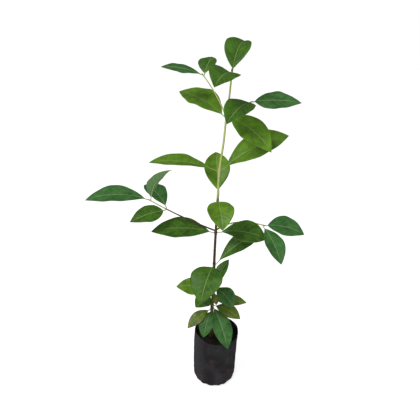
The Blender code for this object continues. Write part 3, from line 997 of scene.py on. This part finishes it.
def leaf_finish(family):
    """Greens by clouds, then veins and midrib; the underside and the stalk have their own colours."""
    tint = GREENS[family]
    finish = Finish("leaf_" + family)
    across, share, face = finish.parts("blade")
    reach = finish.parts("metres")[0]
    upper = face.step(-0.2, 0.2)
    sweep = across.size() + across * across * 0.5
    phase = (share - sweep * VEIN_SWEEP) * VEIN_PAIRS + across.step(-0.001, 0.001) * VEIN_OFFSET
    near = (phase.math("FRACT") - 0.5).size() * 2.0
    inner = across.size().step(0.98, 0.55)
    vein = near.step(0.86, 0.99) * inner
    rib = reach.step(0.0011, 0.0004) * share.step(1.0, 0.75)
    mottle = finish.noise(95.0, 4.0)
    soft = finish.noise(24.0, 2.0)
    clouds = mottle.step(0.30, 0.72) * 0.55 + soft.step(0.35, 0.65) * 0.45
    green = finish.mix(clouds, tint["dark"], tint["light"])
    # Painted shade: the green is darkened beside each side vein, where the quilted blade dips into its
    # grooves
    green = finish.mix(near.step(0.55, 0.90) * inner * 0.30, green, tint["dark"])
    if family == "old":
        blotch = finish.noise(60.0, 3.0)
        green = finish.mix(blotch.step(0.52, 0.66) * 0.8, green, BLOTCH_YELLOW)
        edge = across.size() + (finish.noise(150.0, 3.0) - 0.5) * 0.5
        green = finish.mix(edge.step(0.80, 0.98) * 0.85, green, MARGIN_BROWN)
    green = finish.mix(vein * VEIN_STRENGTH, green, PALE_VEIN)
    green = finish.mix(rib * RIB_STRENGTH, green, PALE_VEIN)
    below = finish.mix(vein * 0.5, finish.mix(mottle, tint["light"], UNDERSIDE), PALE_VEIN)
    colour = finish.mix(upper, below, green)
    stalk = face.size().step(0.5, 0.2)
    colour = finish.mix(stalk, colour, STALK_GREEN)
    grain = finish.noise(1300.0, 2.0)
    roughness = 0.34 + mottle * 0.16 + (1.0 - upper) * 0.22
    height = grain * 0.35 + (1.0 - near.step(0.55, 1.0)) * 0.65
    return finish.done(colour, roughness, height, LEAF_BUMP, LEAF_SHINE)


def family_of(name):
    for family, words in (("old", OLD_LEAVES), ("blue", BLUE_LEAVES), ("bright", BRIGHT_LEAVES)):
        if any(word in name for word in words):
            return family
    return "deep"


leaf_finishes = {family: leaf_finish(family) for family in GREENS}
for name, piece in leaves.items():
    piece.data.materials.append(leaf_finishes[family_of(name)])
print("leaf finishes", sorted(leaf_finishes))

# %% [markdown]
# Bark finish. Up to the third joint the stem is dark red-brown wood, olive near its foot, and
# above it is pale yellow-green, with painted shade that browns the side turned from the light. The change
# of colour comes from the height of a point, made ragged by noise, so that no ring shows where one turns
# into the other.

# %% Bark finishes
DARK_WOOD = (0.050, 0.020, 0.011)
WARM_WOOD = (0.120, 0.055, 0.028)
OLIVE_WOOD = (0.125, 0.100, 0.030)
PALE_GREEN = (0.560, 0.560, 0.200)
LIME = (0.420, 0.520, 0.130)
# The brown of the painted shade on the side of the bark turned from the light
SHADE_SIDE_BROWN = (0.300, 0.200, 0.070)
BUD_BROWN = (0.070, 0.060, 0.030)
BUD_GREEN = (0.160, 0.190, 0.070)
BARK_BUMP = 0.00035
BUD_BUMP = 0.0001

# Each bark's painted shade on its unlit side, and where it turns young: above a height, or past a share of
# its length
BARKS = {
    "stem": dict(side_shade_share=0.75, measure="height", limits=(0.516, 0.502), ragged=0.03),
    "left_bough": dict(side_shade_share=0.3, measure="share", limits=(0.78, 0.70), ragged=0.06),
    "right_bough": dict(side_shade_share=0.3, measure="share", limits=(0.30, 0.10), ragged=0.10),
    "twig": dict(side_shade_share=0.25),
}


def bark_finish(name, side_shade_share, measure=None, limits=None, ragged=0.0):
    """Old wood up to the limits of its measure, young bark past them; without one all is young."""
    finish = Finish(name)
    z = finish.place()[2]
    turn_x, _, share = finish.parts("skin")
    streaks = finish.noise(60.0, 5.0, (14.0, 14.0, 1.0))
    clouds = finish.noise(120.0, 3.0)
    wood = finish.mix(streaks.step(0.35, 0.70), DARK_WOOD, WARM_WOOD)
    wood = finish.mix(z.step(0.30, 0.20) * 0.55, wood, OLIVE_WOOD)
    young = finish.mix(clouds.step(0.3, 0.7), PALE_GREEN, LIME)
    # Painted shade: the side of the bark turned from the key light is mixed towards brown
    painted_side_shade = (turn_x + (streaks - 0.5) * 0.9).step(0.25, 0.85) * side_shade_share
    young = finish.mix(painted_side_shade, young, SHADE_SIDE_BROWN)
    if measure:
        old = ({"height": z, "share": share}[measure] + (clouds - 0.5) * ragged).step(*limits)
    else:
        old = clouds * 0.0
    colour = finish.mix(old, young, wood)
    roughness = 0.48 + old * 0.28 + (clouds - 0.5) * 0.2
    height = streaks * (0.35 + old * 0.65)
    return finish.done(colour, roughness, height, BARK_BUMP)


def bud_finish():
    """Brown scales with green between them."""
    finish = Finish("bud_finish")
    clouds = finish.noise(500.0, 3.0)
    colour = finish.mix(clouds.step(0.35, 0.65), BUD_BROWN, BUD_GREEN)
    return finish.done(colour, 0.5 + clouds * 0.2, clouds, BUD_BUMP)


barks = {name: bark_finish(name + "_finish", **look) for name, look in BARKS.items()}
stem.data.materials.append(barks["stem"])
for name, piece in limbs.items():
    piece.data.materials.append(barks["twig" if "twig" in name else name])

bud_look = bud_finish()
for bud in buds:
    bud.data.materials.append(bud_look)
print("bark and bud finishes made")

# %% [markdown]
# Film finish. Black polythene is never quite black: it has a soft grey sheen, dust where dried
# soil clings, and here faint rusty patches; a painted highlight greys its left side. Creases too fine for
# the mesh go into bump.

# %% Film and soil finishes
FILM_BLACK = (0.012, 0.011, 0.013)
FILM_GREY = (0.050, 0.048, 0.055)
FILM_RUST = (0.080, 0.038, 0.028)
FILM_SPECK = (0.16, 0.14, 0.12)
SOIL_DARK = (0.010, 0.007, 0.005)
SOIL_LIGHT = (0.045, 0.030, 0.018)
SOIL_FIBRE = (0.085, 0.055, 0.030)
FILM_BUMP = 0.0006
SOIL_BUMP = 0.0009


def film_finish():
    """Black and grey by clouds and dust, greyer on the left by a painted highlight, with faint rust and
    pale specks.
    """
    finish = Finish("bag_film")
    x, _, z = finish.place()
    clouds = finish.noise(28.0, 5.0)
    dust = finish.noise(70.0, 6.0, (1.0, 1.0, 0.35))
    specks = finish.noise(900.0, 3.0)
    crinkle = finish.node("ShaderNodeTexVoronoi", {"feature": "DISTANCE_TO_EDGE"},
                          {"Vector": finish.node("ShaderNodeTexCoord", out="Object"), "Scale": 130.0})
    grey = clouds.step(0.35, 0.75) * 0.45 + dust.step(0.45, 0.75) * 0.35
    colour = finish.mix(grey, FILM_BLACK, FILM_GREY)
    # Painted highlight: the film is mixed towards grey on its left side, facing the key light
    left = (x + (clouds - 0.5) * 0.03).step(-0.018, -0.045)
    colour = finish.mix(left * 0.55, colour, FILM_GREY)
    rust = finish.noise(45.0, 4.0).step(0.55, 0.72) * z.step(0.012, 0.03) * z.step(0.135, 0.10)
    colour = finish.mix(rust * 0.5, colour, FILM_RUST)
    colour = finish.mix(specks.step(0.68, 0.76) * 0.3, colour, FILM_SPECK)
    roughness = 0.36 + clouds * 0.22 + left * 0.15
    height = crinkle.step(0.0, 0.06) * 0.6 + clouds * 0.4 + specks * 0.1
    return finish.done(colour, roughness, height, FILM_BUMP)


def soil_finish():
    """Dark lumps with a few paler fibres."""
    finish = Finish("potting_soil_finish")
    lumps = finish.noise(350.0, 6.0)
    fibres = finish.noise(160.0, 4.0, (1.0, 5.0, 1.0))
    colour = finish.mix(lumps.step(0.40, 0.72), SOIL_DARK, SOIL_LIGHT)
    colour = finish.mix(fibres.step(0.66, 0.74) * 0.5, colour, SOIL_FIBRE)
    return finish.done(colour, 0.82 + lumps * 0.16, lumps, SOIL_BUMP)


bag.data.materials.append(film_finish())
soil_look = soil_finish()
for piece in (soil, crumbs):
    piece.data.materials.append(soil_look)
print("film and soil finishes made")

# %% [markdown]
# Every new piece now takes the place of its solid. The plant and its pot are one body, so all
# pieces ride on the root.

# %% Let the new pieces stand for the solids
def stands_for(piece, node):
    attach(piece, "root")
    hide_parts(node)


def rides_along(piece):
    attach(piece, "root")


stands_for(bag, "bag")
stands_for(soil, "soil")
rides_along(crumbs)
stands_for(stem, "stem")
for name, piece in limbs.items():
    stands_for(piece, name)
for bud in buds:
    rides_along(bud)
for name, piece in leaves.items():
    stands_for(piece, name)
print("pieces", len([bag, soil, crumbs, stem, *limbs, *buds, *leaves]))

# %% [markdown]
# The plant stands on a plain pale floor in soft studio light, seen from a little above, as a
# photographer would stand before it.

# %% Floor, light and camera
WHITE = (1.0, 1.0, 1.0, 1.0)
FLOOR_PALE = (0.93, 0.93, 0.93)
FLOOR_PALEST = (0.95, 0.95, 0.95)
FLOOR_SIZE = 60.0
FLOOR_DROP = 0.0005
FLOOR_GLOW = 0.70
ROOM_LIGHT = 0.36
MIRRORED_LIGHT = 0.10
LIT_POINT = (0.0, 0.0, 0.4)
LENS = 36.77
SENSOR = 36.0
CAMERA_PLACE = (-0.0106, -0.80, 0.907)
CAMERA_TILT = 62.0

select_nothing()
bpy.ops.mesh.primitive_plane_add(size=FLOOR_SIZE, location=(0.0, 0.0, -FLOOR_DROP))
floor = named("studio_floor")
floor_finish = Finish("studio_floor_finish")
grain = floor_finish.noise(3.0, 2.0)
pale = floor_finish.mix(grain, FLOOR_PALE, FLOOR_PALEST)
floor.data.materials.append(floor_finish.done(pale, 0.9))
floor_finish.shader.inputs["Emission Color"].default_value = WHITE
floor_finish.shader.inputs["Emission Strength"].default_value = FLOOR_GLOW
floor.visible_glossy = False

sky = Finish("studio_sky", bpy.data.worlds.new("studio_sky"), "Background")
bpy.context.scene.world = sky.owner
seen = sky.node("ShaderNodeLightPath", out="Is Camera Ray")
mirrored = sky.node("ShaderNodeLightPath", out="Is Glossy Ray")
sky.shader.inputs["Color"].default_value = WHITE
sky.feed(sky.shader.inputs["Strength"],
         seen * (1.0 - ROOM_LIGHT) + mirrored * (MIRRORED_LIGHT - ROOM_LIGHT) + ROOM_LIGHT)


def soft_light(name, spot, size, power):
    """A round lamp that faces the middle of the plant."""
    light = bpy.data.lights.new(name, "AREA")
    light.shape = "DISK"
    light.size = size
    light.energy = power
    lamp = bpy.data.objects.new(name, light)
    lamp.location = spot
    lamp.rotation_euler = (Vector(LIT_POINT) - Vector(spot)).to_track_quat("-Z", "Y").to_euler()
    bpy.context.scene.collection.objects.link(lamp)


soft_light("key_light", (-0.9, -0.9, 2.0), size=0.7, power=15.0)
soft_light("fill_light", (1.4, -1.0, 1.4), size=1.2, power=2.5)

camera_data = bpy.data.cameras.new("camera")
camera_data.sensor_width = SENSOR
camera_data.lens = LENS
camera = bpy.data.objects.new("camera", camera_data)
camera.location = CAMERA_PLACE
camera.rotation_euler = (math.radians(CAMERA_TILT), 0.0, 0.0)
bpy.context.scene.collection.objects.link(camera)
bpy.context.scene.camera = camera
bpy.context.scene.view_settings.view_transform = "Standard"
print("camera at", tuple(round(v, 3) for v in camera.location))
